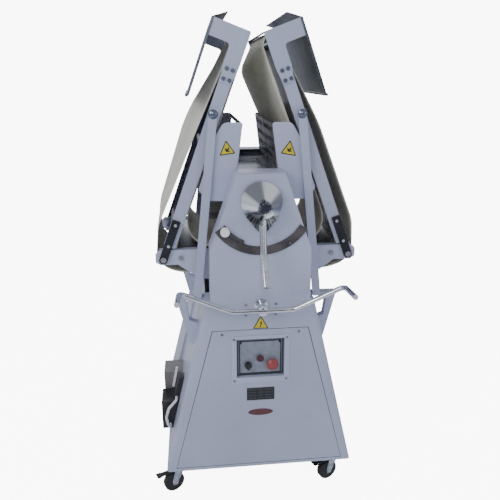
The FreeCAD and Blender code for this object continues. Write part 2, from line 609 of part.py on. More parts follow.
def scale():
    arc = arc_sector(ARC_IN, ARC_OUT, ARC_FROM, ARC_TO, -ARC_T, 0)
    strip = arc_sector(ARC_IN - 10, ARC_IN + 1, ARC_FROM, ARC_FROM + STOP_TRAVEL + 14, -ARC_T, 0)
    slot = arc_sector(STOP_RADIUS - 4, STOP_RADIUS + 4, STOP_ANGLE - 2, STOP_ANGLE + STOP_TRAVEL + 2,
                      -ARC_T - 1, -ARC_SLOT_FLOOR)
    keep("scale_arc", arc.fuse(strip).cut(slot))
    x = STOP_RADIUS * cos(radians(STOP_ANGLE))
    z = LEVER_Z + STOP_RADIUS * sin(radians(STOP_ANGLE))
    knob = rod(x, z, STOP_KNOB_R, -ARC_T - 18, -ARC_T - STOP_LIFT)
    stem = rod(x, z, 3.4, -ARC_T - STOP_LIFT - 2, -ARC_SLOT_FLOOR - GAP)
    keep("stop_knob", knob.fuse(stem))


def handlebar():
    """Bent rod in front of the base, with its grips turned forwards."""
    right = [at(BAR_FLAT, BAR_D, BAR_Z), at(BAR_END_X, BAR_D, BAR_END_Z),
             at(BAR_END_X + 4, -HANDLE_REACH, BAR_END_Z + 8)]
    left = [V(-p.x, p.y, p.z) for p in reversed(right)]
    tube = bent_rod(left + right, [22, 60, 60, 22], BAR_R)
    hub = rod(0, BAR_Z, BAR_HUB_R, BAR_D - 4, BAR_D + 16)
    neck = rod(0, BAR_Z, BAR_HUB_R - 5, BAR_D + 16, -7)
    shaft = rod(0, BAR_Z, BAR_SHAFT_R, -8, 60)
    keep("handlebar", tube.fuse([hub, neck, shaft]))
    flange = rod(0, BAR_Z, BAR_HUB_R + 5, -6, 0).cut(rod(0, BAR_Z, BAR_SHAFT_R + FIT, -7, 1))
    keep("handlebar_bearing", flange)


# ---------------------------------------------------------------- tables
def table():
    """Right conveyor table in its folded place, as named solids."""
    d0, d1 = RAIL_D, RAIL_D + RAIL_W
    rail = table_prism([(RAIL_START, RAIL_LOW), (RAIL_END, RAIL_LOW), (RAIL_END, RAIL_HIGH),
                        (RAIL_START, RAIL_HIGH)], d0, d1)
    hollow = table_prism([(RAIL_START - 1, RAIL_LOW + RAIL_WALL), (RAIL_END + 1, RAIL_LOW + RAIL_WALL),
                          (RAIL_END + 1, RAIL_HIGH - RAIL_WALL),
                          (RAIL_START - 1, RAIL_HIGH - RAIL_WALL)], d0 + RAIL_WALL, d1 + 1)
    rail = rail.cut(hollow).cut(table_rod(STRUT_T_POS, STRUT_H_POS, STRUT_BOLT_R + FIT, 90, 120))
    bracket = table_prism([(BRACKET_FOOT, -9), (640, BRACKET_LEG_LOW),
                           (BRACKET_END - BRACKET_SHORT_LEG, BRACKET_LEG_LOW),
                           (BRACKET_END - BRACKET_SHORT_LEG, BRACKET_LOW),
                           (BRACKET_END, BRACKET_LOW), (BRACKET_END, BRACKET_HIGH),
                           (645, BRACKET_HIGH), (BRACKET_FOOT, RAIL_HIGH)],
                          RAIL_D - BRACKET_T, RAIL_D, [2, 0, 10, 3, 6, 6, 0, 2])
    bracket = bracket.cut(table_rod(NOSE_T, NOSE_H, NOSE_JOURNAL_R + FIT,
                                    RAIL_D - BRACKET_T + BRACKET_FACE, 120))
    foot = table_prism([(BRACKET_END - BRACKET_SHORT_LEG + 3, BRACKET_LOW),
                        (BRACKET_END - 6, BRACKET_LOW),
                        (BRACKET_END - 6, BRACKET_LOW + BRACKET_T),
                        (BRACKET_END - BRACKET_SHORT_LEG + 3, BRACKET_LOW + BRACKET_T)],
                       RAIL_D - BRACKET_T, RAIL_D + 22)
    bracket = bracket.fuse(foot)
    solids = both_ends(rail) + both_ends(bracket)
    for t in CROSS_TUBES_T:
        solids.append(table_rod(t, 2.0, CROSS_TUBE_R, d0 + RAIL_WALL, BODY_DEPTH - d0 - RAIL_WALL))
    for t in (602.0, 632.5):
        for h in (-3.5, 15.5):
            head_out = RAIL_D - BRACKET_T
            solids += both_ends(table_rod(t, h, BRACKET_SCREW_R, head_out - 3.5, head_out))
    frame = compound(solids)

    bed = table_prism([(RAIL_START + 10, RAIL_HIGH), (RAIL_END, RAIL_HIGH), (RAIL_END, BED_TOP),
                       (RAIL_START + 10, BED_TOP)], d0, BODY_DEPTH - d0)

    link = table_prism([(-15, -LINK_HALF), (LINK_END_T, -LINK_HALF), (LINK_END_T, LINK_HALF),
                        (-15, LINK_HALF)], LINK_D, LINK_D + LINK_T, [13, 3, 3, 13])
    link = link.cut(table_rod(0, 0, PIVOT_R + FIT, 90, 130))
    links = both_ends(link)
    for t in (50.0, 124.0):
        links += both_ends(table_rod(t, 1.0, 5.0, LINK_D - 3.0, LINK_D))
    end_bar = table_prism([(BRACKET_END - 3.2, 12), (BRACKET_END, 12), (BRACKET_END, 30),
                           (BRACKET_END - 3.2, 30)], RAIL_D + GAP, BODY_DEPTH - RAIL_D - GAP)
    links.append(end_bar)

    nose = table_rod(NOSE_T, NOSE_H, NOSE_R, RAIL_D + 6, BODY_DEPTH - RAIL_D - 6)
    blind = RAIL_D - BRACKET_T + BRACKET_FACE + GAP
    journal = table_rod(NOSE_T, NOSE_H, NOSE_JOURNAL_R, blind, BODY_DEPTH - blind)

    lip_len = hypot(PAN_LIP_T, PAN_LIP_H)
    nt, nh = -PAN_LIP_H / lip_len * PAN_T, PAN_LIP_T / lip_len * PAN_T
    end = BRACKET_END - 1.0
    low = BRACKET_LOW - PAN_T
    pan = table_prism([(PAN_START, low), (end, low), (end + PAN_LIP_T, low + PAN_LIP_H),
                       (end + PAN_LIP_T + nt, low + PAN_LIP_H + nh), (end - 0.8, BRACKET_LOW),
                       (PAN_START, BRACKET_LOW)], RAIL_D - BRACKET_T, BODY_DEPTH - RAIL_D + BRACKET_T)
    hem = table_rod(PAN_START, low, PAN_HEM_R, RAIL_D - BRACKET_T, BODY_DEPTH - RAIL_D + BRACKET_T)
    rim = table_prism([(PAN_START, low), (end, low), (end, low + PAN_RIM),
                       (PAN_START, low + PAN_RIM)], RAIL_D - BRACKET_T - PAN_T, RAIL_D - BRACKET_T)
    pan = pan.fuse([hem] + both_ends(rim))

    return {"table_frame": frame, "table_bed": bed, "table_links": compound(links),
            "nose_roller": nose.fuse(journal), "catch_pan": pan,
            "struts": struts()}


def belt(upper, lower):
    """Closed belt loop of the right table, folded; upper and lower are the slack of its runs."""
    r_out = DRIVE_R + 0.3 + BELT_T
    left = DRIVE_X - r_out
    top, bottom = DRIVE_Z + r_out, DRIVE_Z - r_out
    nose_out = NOSE_R + 0.5 + BELT_T
    lean = radians(FOLD_LEAN)
    h_top = NOSE_H + nose_out
    t_corner = (top - PIVOT_Z + h_top * sin(lean)) / cos(lean)
    leave = NOSE_T + NOSE_H + nose_out * hypot(1, 1)    # 45 degree line off the nose: t + h
    outline = [(left, top), folded_point(t_corner, h_top), folded_point(250, h_top + 3),
               folded_point(500, h_top + upper * 0.85),
               folded_point(leave - h_top - upper, h_top + upper),
               folded_point(NOSE_T + nose_out, leave - NOSE_T - nose_out),
               folded_point(NOSE_T + nose_out, NOSE_H - nose_out),
               folded_point(640, -21 - lower * 0.3), folded_point(440, -50 - lower),
               folded_point(95, -57 - lower * 0.3),
               (334, 866), (302, 828), (215, 797), (left, bottom)]
    radii = [r_out, 95, 300, 300, min(55, nose_out + upper * 0.6), nose_out, nose_out,
             150, 500, 120, 40, 60, 200, r_out]
    outer = rounded_wire(outline, radii)
    inner = outer.makeOffset2D(-BELT_T)
    face = Part.Face([outer, inner])
    if not face.isValid():
        face = Part.Face(outer).cut(Part.Face(inner))
    face.translate(V(0, FRONT_Y + BELT_EDGE_D, 0))
    return face.extrude(V(0, BELT_WIDTH, 0))


def struts():
    bx, bz = folded_point(STRUT_T_POS, STRUT_H_POS)
    angle = atan2(STRUT_FOOT_Z - bz, STRUT_FOOT_X - bx)
    length = hypot(STRUT_FOOT_X - bx, STRUT_FOOT_Z - bz)
    ax, az = cos(angle), sin(angle)
    w = STRUT_HALF

    def place(u, v):
        return bx + u * ax - v * az, bz + u * az + v * ax
    flat = prism([place(-w - 3, -w), place(length + STRUT_END, -w), place(length + STRUT_END, w),
                  place(-w - 3, w)], STRUT_D, STRUT_D + STRUT_T, [w - 0.5, 6, 6, w - 0.5])
    bolt = rod(bx, bz, STRUT_BOLT_R, STRUT_D + STRUT_T, RAIL_D + RAIL_WALL)
    dome = Part.makeSphere(STRUT_DOME_R * 1.25, at(bx, STRUT_D + 11, bz))
    dome = dome.common(rod(bx, bz, STRUT_DOME_R, STRUT_D - 12, STRUT_D))
    pin = rod(STRUT_FOOT_X, STRUT_FOOT_Z, FOOT_PIN_R, STRUT_D + STRUT_T, REST_D + REST_DEEP)
    strut = flat.fuse([bolt, dome, pin])
    return compound(both_ends(strut))


def guard():
    """Right safety guard: two cheeks and a slotted sheet between them."""
    points = [(45, 1308), (106, 1308), (128, 1272), (188, 1100), (160, 1066), (112, 1064),
              (74, 1080), (68, 1152)]
    cheek = prism(points, GUARD_D, GUARD_D + GUARD_T, [8, 22, 10, 12, 10, 12, 10, 4])
    cheek = cheek.cut(rod(GUARD_HINGE_X, GUARD_HINGE_Z, GUARD_PIN_R + FIT, 80, 120))
    d0, d1 = GUARD_D + GUARD_T, BODY_DEPTH - GUARD_D - GUARD_T
    top, low = V(47.5, 0, 1304), V(66.5, 0, 1152)
    line = (low - top).normalize()
    across = V(-line.z, 0, line.x) * GUARD_SHEET_T
    corners = [top, low, low - across, top - across]
    sheet = prism([(c.x, c.z) for c in corners], d0, d1)
    length = (low - top).Length
    middle = (d0 + d1) / 2
    for row in range(4):
        centre = top + line * (22 + row * 36)
        for s0, s1 in ((d0 + 26, middle - 10), (middle + 10, d1 - 26)):
            a, b = centre - line * 8, centre + line * 8
            cutter = [a + across * 3, b + across * 3, b - across * 3, a - across * 3]
            sheet = sheet.cut(prism([(c.x, c.z) for c in cutter], s0, s1))
    return both_ends(cheek) + [sheet]


def tables_and_guards():
    for name, shape in table().items():
        keep("right_" + name, shape)
        keep("left_" + name, mirror_x(shape))
    keep("right_belt", belt(*RIGHT_SLACK))
    keep("left_belt", mirror_x(belt(*LEFT_SLACK)))
    solids = guard()
    keep("right_guard", *solids)
    keep("left_guard", *[mirror_x(s) for s in solids])


# ---------------------------------------------------------------- castors
def castors():
    names = ("front_left", "front_right", "rear_left", "rear_right")
    crown_top = BASE_BOTTOM - CASTOR_RACE - GAP
    for name, (x, d, heading) in zip(names, castor_places()):
        crown = Part.makeCylinder(24.0, CROWN_T, V(0, 0, crown_top - CROWN_T))
        solids = [crown]
        for side in (-1, 1):
            y = side * (WHEEL_W / 2 + 2.0)
            leg = [(-20, crown_top - 4), (22, crown_top - 4), (CASTOR_TRAIL + 11, WHEEL_R + 8),
                   (CASTOR_TRAIL + 8, WHEEL_R - 10), (CASTOR_TRAIL - 8, WHEEL_R - 10),
                   (CASTOR_TRAIL - 14, WHEEL_R + 6)]
            wire = Part.makePolygon([V(px, 0, pz) for px, pz in leg + leg[:1]])
            plate = Part.Face(wire).extrude(V(0, side * 3.0, 0))
            plate.translate(V(0, y - side * 1.5, 0))
            solids.append(plate)
        roof = Part.makeBox(44, WHEEL_W + 7, 3, V(-21, -WHEEL_W / 2 - 3.5, crown_top - 7))
        axle = Part.makeCylinder(4.0, WHEEL_W + 8, V(CASTOR_TRAIL, -WHEEL_W / 2 - 4, WHEEL_R), Y_AXIS)
        fork = solids[0].fuse(solids[1:] + [roof, axle])
        fork = fork.cut(Part.makeCylinder(CASTOR_PIN_R + FIT, 60, V(0, 0, 60)))
        if name.startswith("front"):
            pin_x, pin_z, pin_r = BRAKE_PIN
            fork = fork.cut(Part.makeCylinder(pin_r + FIT, 60, V(pin_x, -30, pin_z), Y_AXIS))
        fork = fork.removeSplitter()
        wheel = Part.makeCylinder(WHEEL_R, WHEEL_W, V(CASTOR_TRAIL, -WHEEL_W / 2, WHEEL_R), Y_AXIS)
        rounded = [e for e in wheel.Edges if e.Length > 200]
        wheel = wheel.makeFillet(4.0, rounded)
        wheel = wheel.cut(Part.makeCylinder(4.0 + FIT, 80, V(CASTOR_TRAIL, -40, WHEEL_R), Y_AXIS))
        pieces = {"castor_fork": fork, "castor_wheel": wheel}
        if name.startswith("front"):
            pin_x, pin_z, pin_r = BRAKE_PIN
            reach = WHEEL_W / 2 + 5.0
            pin = Part.makeCylinder(pin_r, 2 * reach, V(pin_x, -reach, pin_z), Y_AXIS)
            pedal = Part.makeBox(18, 20, 11, V(pin_x - 5, -10, pin_z - 6.5))
            pedal = pedal.fuse([pin, Part.makeBox(48, 20, 3, V(pin_x + 8, -10, pin_z - 4)),
                                Part.makeBox(16, 26, 3, V(pin_x + 54, -13, pin_z - 4))])
            pieces["castor_brake"] = pedal
        for kind, shape in pieces.items():
            shape.rotate(V(0, 0, 0), Z_AXIS, heading)
            shape.translate(at(x, d, 0))
            keep(name + "_" + kind, shape)


# ---------------------------------------------------------------- drive and side items
def drive():
    """Geared motor on its plate in the base, and the chain up to the lower roller."""
    floor = RING_Z + TUBE
    plate = box(-100, 100, PLATE_D, BODY_DEPTH - PLATE_D, floor, floor + 6)
    gearbox = box(-60, 60, 400, 520, floor + 6, MOTOR_Z + 50)
    motor = rod(0, MOTOR_Z - 30, 68, 170, 400)
    fins = [rod(0, MOTOR_Z - 30, 74, d, d + 4) for d in range(190, 390, 20)]
    foot = box(-40, 40, 200, 360, floor + 6, MOTOR_Z - 90)
    shaft = rod(0, MOTOR_Z, MOTOR_SHAFT_R, 520, CHAIN_D + CHAIN_T + 5)
    sprocket = rod(0, MOTOR_Z, SPROCKET_R, CHAIN_D, CHAIN_D + CHAIN_T)
    unit = motor.fuse(fins + [gearbox, foot, shaft, sprocket])
    keep("gearmotor", plate, unit)

    def loop(radius):
        z0, z1 = MOTOR_Z - radius, LOWER_ROLLER_Z + radius
        points = [(-radius, z0), (radius, z0), (radius, z1), (-radius, z1)]
        return prism(points, CHAIN_D, CHAIN_D + CHAIN_T, radius - 0.001)
    keep("drive_chain", loop(CHAIN_R).cut(loop(SPROCKET_R + GAP)))


def side_items():
    """Isolator, socket and short lead on the left side of the base."""
    front_side = prism(taper(BASE_HALF, BASE_HALF_TOP, BASE_BOTTOM, BASE_TOP), 0, BODY_DEPTH)
    case = box(-337, -230, 230, 320, 258, 380).cut(front_side)
    block = box(-345, -250, 130, 220, 205, 316).cut(front_side)
    plug = prism([(-302, 316.3), (-262, 316.3), (-240, 410), (-278, 410)], 134, 170, 3)
    keep("isolator_and_socket", case, block, plug.cut(front_side))
    keep("isolator_switch", prism([(-309, 322), (-300, 322), (-284, 402), (-292, 402)], 222, 229.7))
    route = [at(-290, 134, 332), at(-290, 114, 332), at(-318, 102, 306), at(-328, 102, 270),
             at(-324, 106, 238), at(-316, 112, 222), at(-316, 130, 222)]
    keep("isolator_lead", bent_rod(route, [9, 20, 20, 20, 9], 5.0))


def screws():
    """Panel screws on the front of the base, cover and control frame."""
    places = [(x, z, 4.0, 0.0) for x in (-127, 127) for z in (640.5,)]
    places += [(x, z, 4.0, -2.0) for x in (-88, 88) for z in (467, 622)]
    places += [(x, z, 4.0, 0.0) for x in (-49, 49) for z in (706, 742)]
    solids = [rod(x, z, r, d - 2.0, d) for x, z, r, d in places]
    for angle in (236.0, 304.0):
        radius = ARC_OUT - 9.0
        x, z = radius * cos(radians(angle)), LEVER_Z + radius * sin(radians(angle))
        solids.append(rod(x, z, 4.0, -ARC_T - 2.0, -ARC_T))
    keep("casing_screws", *solids)


def main():
    os.makedirs("parts", exist_ok=True)
    for build in (floor_frame, front_casing, rear_casing, front_door, controls, front_plates, head,
                  rollers, pivot_arms, strut_rests, gap_lever, scale, handlebar,
                  tables_and_guards, castors, drive, side_items, screws):
        build()
    for name, shape in NODES.items():
        shape.exportStep("parts/" + name + ".step")
    bx, bz = folded_point(STRUT_T_POS, STRUT_H_POS)
    print("nodes", len(NODES), "strut bolt", round(bx, 2), round(bz, 2), "FRONT_Y", FRONT_Y)


main()
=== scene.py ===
# %% [markdown]
# # A dough sheeter, finished in Blender
# The machine comes in from CAD as a fixed frame: every sheet-metal part, roller and joint
# already has its size and place. What is left is what a CAD file cannot say: paint, chrome,
# woven belts, labels and light. The first step loads that frame and notes where its front
# face and its middle plane lie.
# %% Load the frame
import bmesh
import bpy
from math import cos, hypot, pi, radians, sin, tan
from mathutils import Matrix, Vector


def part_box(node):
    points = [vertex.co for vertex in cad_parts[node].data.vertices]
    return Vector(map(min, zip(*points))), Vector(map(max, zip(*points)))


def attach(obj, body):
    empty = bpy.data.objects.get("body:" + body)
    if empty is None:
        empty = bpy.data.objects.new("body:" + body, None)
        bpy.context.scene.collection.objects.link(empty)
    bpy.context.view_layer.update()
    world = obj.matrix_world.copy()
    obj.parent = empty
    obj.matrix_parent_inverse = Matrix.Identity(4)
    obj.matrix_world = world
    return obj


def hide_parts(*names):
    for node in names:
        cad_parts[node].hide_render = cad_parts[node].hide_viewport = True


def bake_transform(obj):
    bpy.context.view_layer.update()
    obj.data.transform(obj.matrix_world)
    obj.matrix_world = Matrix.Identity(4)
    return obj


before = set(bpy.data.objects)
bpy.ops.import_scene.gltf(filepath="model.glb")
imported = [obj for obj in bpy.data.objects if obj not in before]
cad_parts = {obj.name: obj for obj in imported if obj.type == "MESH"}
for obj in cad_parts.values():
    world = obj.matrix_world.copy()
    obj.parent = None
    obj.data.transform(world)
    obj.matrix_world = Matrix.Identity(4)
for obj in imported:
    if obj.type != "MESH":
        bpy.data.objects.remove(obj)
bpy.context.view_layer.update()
MIDDLE_Y = sum(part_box("side_plates")[i].y for i in (0, 1)) / 2
FRONT_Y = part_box("front_door")[0].y
print("nodes", len(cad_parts), "front face at y", round(FRONT_Y, 4), "middle", round(MIDDLE_Y, 4))

# %% [markdown]
# ## The camera
# The operator stands a little to the left of the machine and looks slightly down at it. A
# camera is aimed most easily from two angles: how far it turns to the right, and how far it
# dips. The lens is a plain one with a field of about fifty degrees, which gives the slight
# narrowing towards the castors.
# %% Camera
CAMERA_PLACE = Vector((-0.2032, -1.8365, 1.4426))
CAMERA_TURN, CAMERA_DIP, CAMERA_ROLL = radians(6.08), radians(17.93), radians(0.1)
LENS_MM = 38.69

camera = bpy.data.objects.new("camera", bpy.data.cameras.new("camera"))
bpy.context.scene.collection.objects.link(camera)
camera.data.lens, camera.data.sensor_width = LENS_MM, 36.0
camera.location = CAMERA_PLACE
camera.rotation_euler = (
    Matrix.Rotation(-CAMERA_TURN, 4, "Z")
    @ Matrix.Rotation(pi / 2 - CAMERA_DIP, 4, "X")
    @ Matrix.Rotation(-CAMERA_ROLL, 4, "Z")
).to_euler()
bpy.context.scene.camera = camera

# %% [markdown]
# ## A pale studio
# A product picture needs a floor that is nearly white and light that comes from large soft
# sources, so that metal has something bright to reflect. Four area lamps do it: a broad one
# high on the left, a weaker one on the right, a strip by the camera and one at the back.
# %% Floor, sky and lamps
def link(obj):
    bpy.context.scene.collection.objects.link(obj)
    return obj


def mesh_object(name, bm, smooth=None):
    """A bmesh as an object at the origin; smooth is the largest angle shaded round."""
    bm.normal_update()
    mesh = bpy.data.meshes.new(name)
    bm.to_mesh(mesh)
    bm.free()
    obj = link(bpy.data.objects.new(name, mesh))
    if smooth is not None:
        mesh.shade_smooth()
        mesh.set_sharp_from_angle(angle=radians(smooth))
    return obj


BACKDROP = 9.0

bm = bmesh.new()
bmesh.ops.create_grid(bm, x_segments=1, y_segments=1, size=30.0)
floor = mesh_object("floor", bm)

world = bpy.data.worlds.new("pale studio")
bpy.context.scene.world = world
world.use_nodes = True
sky_tree = world.node_tree
sky = sky_tree.nodes["Background"]
sky.inputs["Color"].default_value = (0.90, 0.93, 1.0, 1.0)
sky.inputs["Strength"].default_value = 0.60
backdrop = sky_tree.nodes.new("ShaderNodeBackground")
backdrop.inputs["Color"].default_value = (1.0, 1.0, 1.0, 1.0)
backdrop.inputs["Strength"].default_value = BACKDROP
seen = sky_tree.nodes.new("ShaderNodeLightPath")
either = sky_tree.nodes.new("ShaderNodeMixShader")
sky_tree.links.new(seen.outputs["Is Camera Ray"], either.inputs["Fac"])
sky_tree.links.new(sky.outputs["Background"], either.inputs[1])
sky_tree.links.new(backdrop.outputs["Background"], either.inputs[2])
sky_tree.links.new(either.outputs["Shader"], sky_tree.nodes["World Output"].inputs["Surface"])

floor_finish = bpy.data.materials.new("studio floor")
floor_finish.use_nodes = True
floor_tree = floor_finish.node_tree
floor_shader = floor_tree.nodes["Principled BSDF"]
floor_shader.inputs["Base Color"].default_value = (0.82, 0.84, 0.88, 1.0)
floor_shader.inputs["Roughness"].default_value = 0.9
floor_shader.inputs["Emission Color"].default_value = (1.0, 1.0, 1.0, 1.0)
glow = floor_tree.nodes.new("ShaderNodeMath")
glow.operation = "MULTIPLY"
glow.inputs[1].default_value = BACKDROP - 0.5
seen = floor_tree.nodes.new("ShaderNodeLightPath")
floor_tree.links.new(seen.outputs["Is Camera Ray"], glow.inputs[0])
floor_tree.links.new(glow.outputs[0], floor_shader.inputs["Emission Strength"])
floor.data.materials.append(floor_finish)


def lamp(name, place, target, size, watts, colour=(1.0, 1.0, 1.0)):
    data = bpy.data.lights.new(name, "AREA")
    data.shape, data.size, data.size_y = "RECTANGLE", size[0], size[1]
    data.energy, data.color = watts, colour
    obj = link(bpy.data.objects.new(name, data))
    obj.location = place
    obj.rotation_euler = (Vector(target) - Vector(place)).to_track_quat("-Z", "Y").to_euler()
    return obj


lamp("key", (-2.6, -2.4, 3.0), (0, 0, 0.9), (1.8, 1.8), 62.0, (1.0, 0.99, 0.98))
lamp("fill", (2.6, -2.2, 1.6), (0, 0, 0.8), (1.6, 2.0), 14.0, (0.94, 0.96, 1.0))
lamp("strip", (-0.4, -3.2, 2.4), (0, -0.2, 1.0), (0.5, 1.6), 16.0)
lamp("back", (0.4, 2.6, 2.6), (0, 0, 1.0), (2.2, 1.2), 24.0)

# %% [markdown]
# ## Dark cards for the chrome
# In an all-white room chrome looks like plaster, because a mirror needs something dark to
# show. Photographers stand black cards just out of shot. These cards are seen by
# reflections only: not by the camera, and they cast no shadow.
# %% Dark cards
card_black = bpy.data.materials.new("card black")
card_black.use_nodes = True
card_black.node_tree.nodes["Principled BSDF"].inputs["Base Color"].default_value = (0.01, 0.01, 0.013, 1)
card_black.node_tree.nodes["Principled BSDF"].inputs["Roughness"].default_value = 0.9
CARDS = (("card left", (-1.0, -2.2, 1.0), 0.16, 1.1), ("card middle", (0.25, -2.6, 0.9), 0.22, 1.0),
         ("card right", (1.3, -1.7, 1.1), 0.22, 1.2))
for card_name, spot, half_wide, half_high in CARDS:
    bm = bmesh.new()
    bmesh.ops.create_grid(bm, x_segments=1, y_segments=1, size=1.0)
    facing = (Vector((0, 0, 1.0)) - Vector(spot)).to_track_quat("Z", "Y").to_matrix().to_4x4()
    size = Matrix.Diagonal((half_wide, half_high, 1.0, 1.0))
    bmesh.ops.transform(bm, matrix=Matrix.Translation(spot) @ facing @ size, verts=list(bm.verts))
    card = mesh_object(card_name, bm)
    card.data.materials.append(card_black)
    card.visible_camera = card.visible_diffuse = card.visible_shadow = False

# %% [markdown]
# ## Building materials from nodes
# Every finish below is the same recipe with different amounts: a Principled shader, a slow
# noise that shifts its colour a little, a second noise for uneven gloss, and a fine one for
# the bump. A few helpers keep that short. Some CAD nodes hold a painted sheet and its bolt
# heads together; there a mask from the distance to the machine's middle plane splits them.
# %% Node helpers
FINISHES = {}


def add(tree, kind, inputs=None, **settings):
    made = tree.nodes.new("ShaderNode" + kind)
    for key, value in settings.items():
        setattr(made, key, value)
    for key, value in (inputs or {}).items():
        if isinstance(value, bpy.types.NodeSocket):
            tree.links.new(value, made.inputs[key])
        else:
            made.inputs[key].default_value = value
    return made


def start(name):
    material = bpy.data.materials.new(name)
    material.use_nodes = True
    tree = material.node_tree
    shader = tree.nodes["Principled BSDF"]
    place = add(tree, "TexCoord").outputs["Object"]
    FINISHES[name] = material
    return material, tree, shader, place


def stretched(tree, place, scale):
    return add(tree, "Mapping", {"Vector": place, "Scale": scale}).outputs["Vector"]


def noise(tree, place, scale, detail=3.0, rough=0.5):
    return add(tree, "TexNoise", {"Vector": place, "Scale": scale, "Detail": detail,
                                  "Roughness": rough}).outputs["Fac"]


def between(tree, value, low, high, from_low=0.3, from_high=0.7):
    return add(tree, "MapRange", {"Value": value, "From Min": from_low, "From Max": from_high,
                                  "To Min": low, "To Max": high}).outputs["Result"]


def tinted(tree, value, dark, light, low=0.3, high=0.7):
    ramp = add(tree, "ValToRGB", {"Fac": value})
    ramp.color_ramp.elements[0].position, ramp.color_ramp.elements[1].position = low, high
    ramp.color_ramp.elements[0].color = (*dark, 1.0)
    ramp.color_ramp.elements[1].color = (*light, 1.0)
    return ramp.outputs["Color"]


def blended(tree, mask, first, second):
    """Colour sockets or colours mixed by a mask."""
    mix = add(tree, "Mix", data_type="RGBA")
    tree.links.new(mask, mix.inputs["Factor"])
    for socket, value in (("A", first), ("B", second)):
        target = [i for i in mix.inputs if i.name == socket and i.type == "RGBA"][0]
        if isinstance(value, bpy.types.NodeSocket):
            tree.links.new(value, target)
        else:
            target.default_value = (*value, 1.0)
    return [o for o in mix.outputs if o.type == "RGBA"][0]


def bumped(tree, shader, height, strength, distance):
    bump = add(tree, "Bump", {"Height": height, "Strength": strength, "Distance": distance})
    tree.links.new(bump.outputs["Normal"], shader.inputs["Normal"])
    return bump


def shade(colour, factor):
    return tuple(min(1.0, c * factor) for c in colour)


def outside(tree, place, distance):
    """1 where a point is farther from the machine's middle plane than distance."""
    y = add(tree, "SeparateXYZ", {"Vector": place}).outputs["Y"]
    off = add(tree, "Math", {0: y, 1: MIDDLE_Y}, operation="SUBTRACT").outputs[0]
    off = add(tree, "Math", {0: off}, operation="ABSOLUTE").outputs[0]
    return add(tree, "Math", {0: off, 1: distance}, operation="GREATER_THAN").outputs[0]


# %% [markdown]
# ## Painted steel
# The cabinet, covers and table frames are sheet steel with a smooth off-white paint that has
# a faint cool cast. Real paint is never quite even: it has a slight orange peel, broad soft
# shifts in tone, and a little grime in scattered patches. All three are noises of very
# different scale on Object coordinates.
# %% Paint
PAINT = (0.365, 0.395, 0.53)


def paint(name, colour=PAINT, rough=(0.30, 0.44), fittings=None, peel=0.05):
    """Satin paint. fittings = (distance, colour, metallic, roughness) for the bolts in front."""
    material, tree, shader, place = start(name)
    tone = tinted(tree, noise(tree, place, 3.5, 4.0), shade(colour, 0.93), shade(colour, 1.05))
    grime = between(tree, noise(tree, place, 38.0, 6.0, 0.65), 0.0, 0.22, 0.56, 0.78)
    colour_socket = blended(tree, grime, tone, shade(colour, 0.72))
    gloss = between(tree, noise(tree, place, 24.0, 3.0), *rough)
    shader.inputs["Coat Weight"].default_value = 0.12
    shader.inputs["Coat Roughness"].default_value = 0.2
    if fittings:
        distance, bolt_colour, metallic, bolt_rough = fittings
        mask = outside(tree, place, distance)
        colour_socket = blended(tree, mask, colour_socket, bolt_colour)
        tree.links.new(between(tree, mask, 0.0, metallic, 0.0, 1.0), shader.inputs["Metallic"])
        gloss = add(tree, "Mix", {"Factor": mask, "A": gloss, "B": bolt_rough}).outputs["Result"]
    tree.links.new(colour_socket, shader.inputs["Base Color"])
    tree.links.new(gloss, shader.inputs["Roughness"])
    bumped(tree, shader, noise(tree, place, 420.0, 2.0), peel, 0.0006)
    return material


BOLT_BLUE = (0.17, 0.20, 0.27)
paint("cabinet paint")
paint("cover paint", shade(PAINT, 1.06))
paint("door paint", shade(PAINT, 0.97))
paint("table paint", fittings=(0.2293, BOLT_BLUE, 0.9, 0.26))
paint("arm paint", shade(PAINT, 1.04), fittings=(0.2256, (0.30, 0.31, 0.34), 0.9, 0.30))
paint("strut paint", shade(PAINT, 1.04), fittings=(0.2484, BOLT_BLUE, 0.95, 0.16))
print("painted finishes", len(FINISHES))

# %% [markdown]
# ## Bare metals
# Chrome is a nearly perfect mirror, so its look is mostly what it reflects; a whisper of
# roughness and a long soft streak keep it from looking computed. Brushed stainless gets its
# character from noise that is stretched hard along one direction. The dial arc and the links
# are darkened steel, where brown and blue tones show through.
# %% Metals
def metal(name, dark, light, rough, streak=(6.0, 6.0, 6.0), bump=0.04, fine=90.0, fittings=None):
    material, tree, shader, place = start(name)
    run = stretched(tree, place, streak)
    tone = tinted(tree, noise(tree, run, 2.0, 5.0), dark, light)
    gloss = between(tree, noise(tree, run, 5.0, 4.0), *rough)
    metallic_low = 1.0
    if fittings:
        distance, bolt_colour, bolt_rough, metallic_low = fittings
        mask = outside(tree, place, distance)
        tone = blended(tree, mask, tone, bolt_colour)
        tree.links.new(between(tree, mask, metallic_low, 1.0, 0.0, 1.0), shader.inputs["Metallic"])
        gloss = add(tree, "Mix", {"Factor": mask, "A": gloss, "B": bolt_rough}).outputs["Result"]
    else:
        shader.inputs["Metallic"].default_value = 1.0
    tree.links.new(tone, shader.inputs["Base Color"])
    tree.links.new(gloss, shader.inputs["Roughness"])
    bumped(tree, shader, noise(tree, run, fine, 3.0), bump, 0.0003)
    return material


